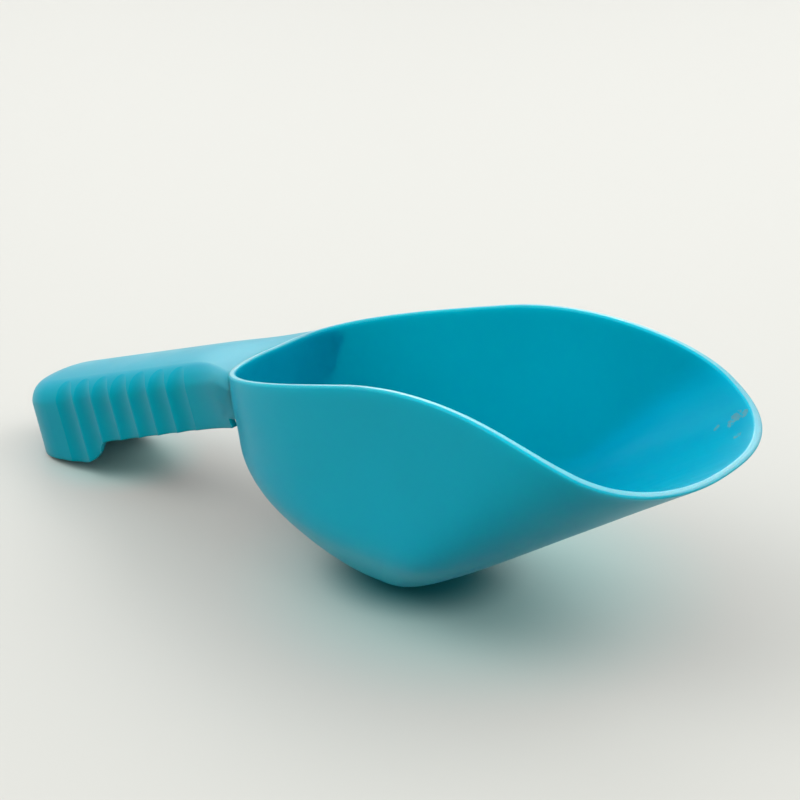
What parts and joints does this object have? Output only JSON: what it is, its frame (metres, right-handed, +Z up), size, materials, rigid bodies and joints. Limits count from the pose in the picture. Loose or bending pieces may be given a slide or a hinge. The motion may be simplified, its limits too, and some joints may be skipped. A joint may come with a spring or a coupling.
{
  "type": "feed scoop",
  "caption": "Hand scoop with a deep rounded bowl, an S-curved rim that runs out to a ramped lip, and a fluted channel handle with a foot at its end.",
  "frame": {"origin": "middle of the flat spot under the bowl, on the surface that the scoop stands on", "axes": "+X out over the lip, +Y to the left as seen from the handle, +Z up"},
  "size_m": [0.303, 0.0992, 0.0899],
  "materials": {
    "scoop_plastic": "smooth semi-gloss moulded plastic, turquoise"
  },
  "bodies": {
    "root": {"bowl": "scoop_plastic", "handle": "scoop_plastic"}
  },
  "joints": []
}
